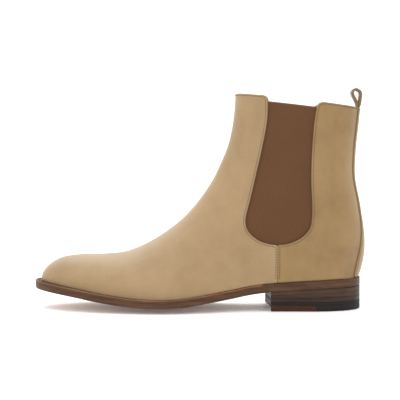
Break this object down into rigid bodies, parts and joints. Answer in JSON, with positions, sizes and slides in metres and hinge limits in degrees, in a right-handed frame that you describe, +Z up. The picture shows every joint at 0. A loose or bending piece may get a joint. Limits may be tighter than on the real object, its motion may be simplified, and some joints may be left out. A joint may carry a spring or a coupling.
{
  "type": "chelsea boot",
  "caption": "Ankle-high slip-on boot for the left foot, with elastic side gores, a welted leather sole, a stacked heel and a folding pull loop at the back.",
  "frame": {"origin": "on the floor, at the middle of the boot's length and width", "axes": "+X from toe to heel, -Y towards the outer side of the foot, +Z up"},
  "size_m": [0.309, 0.1028, 0.2047],
  "materials": {
    "upper_leather": "nubuck, soft matte nap",
    "lining_leather": "smooth vegetable tanned",
    "elastic": "ribbed elastic webbing",
    "sole_leather": "edge dyed and waxed",
    "welt_leather": "edge dyed and waxed",
    "stack_leather": "stacked lifts, waxed",
    "top_rubber": "moulded, matte",
    "board": "leather board",
    "cork": "pressed cork",
    "steel": "plain",
    "brass": "plain"
  },
  "bodies": {
    "boot": {"vamp": "upper_leather", "vamp_lining": "lining_leather", "quarter_lateral": "upper_leather", "quarter_medial": "upper_leather", "quarter_lining_lateral": "lining_leather", "quarter_lining_medial": "lining_leather", "gore_lateral": "elastic", "gore_medial": "elastic", "toe_puff": "board", "heel_counter": "board", "back_strip": "upper_leather", "sock_lining": "lining_leather", "insole": "board", "cork_filler": "cork", "shank": "steel", "welt": "welt_leather", "heel_rand": "sole_leather", "outsole": "sole_leather", "heel_lift_1": "stack_leather", "heel_lift_2": "stack_leather", "heel_lift_3": "stack_leather", "top_piece_rubber": "top_rubber", "top_piece_leather": "sole_leather", "top_piece_nail_1": "brass", "top_piece_nail_2": "brass", "top_piece_nail_3": "brass", "top_piece_nail_4": "brass", "top_piece_nail_5": "brass", "top_piece_nail_6": "brass", "top_piece_nail_7": "brass", "top_piece_nail_8": "brass", "top_piece_nail_9": "brass", "heel_nail_1": "steel", "heel_nail_2": "steel", "heel_nail_3": "steel", "heel_nail_4": "steel", "heel_nail_5": "steel"},
    "pull_loop": {"pull_loop": "upper_leather"}
  },
  "joints": [
    {"name": "pull_loop_fold", "type": "hinge", "parent": "boot", "child": "pull_loop", "pos_m": [0.14693, 0, 0.1887], "axis": [0, 1, 0], "range_deg": [-50, 75], "stiffness_Nm_per_rad": 0.02}
  ]
}
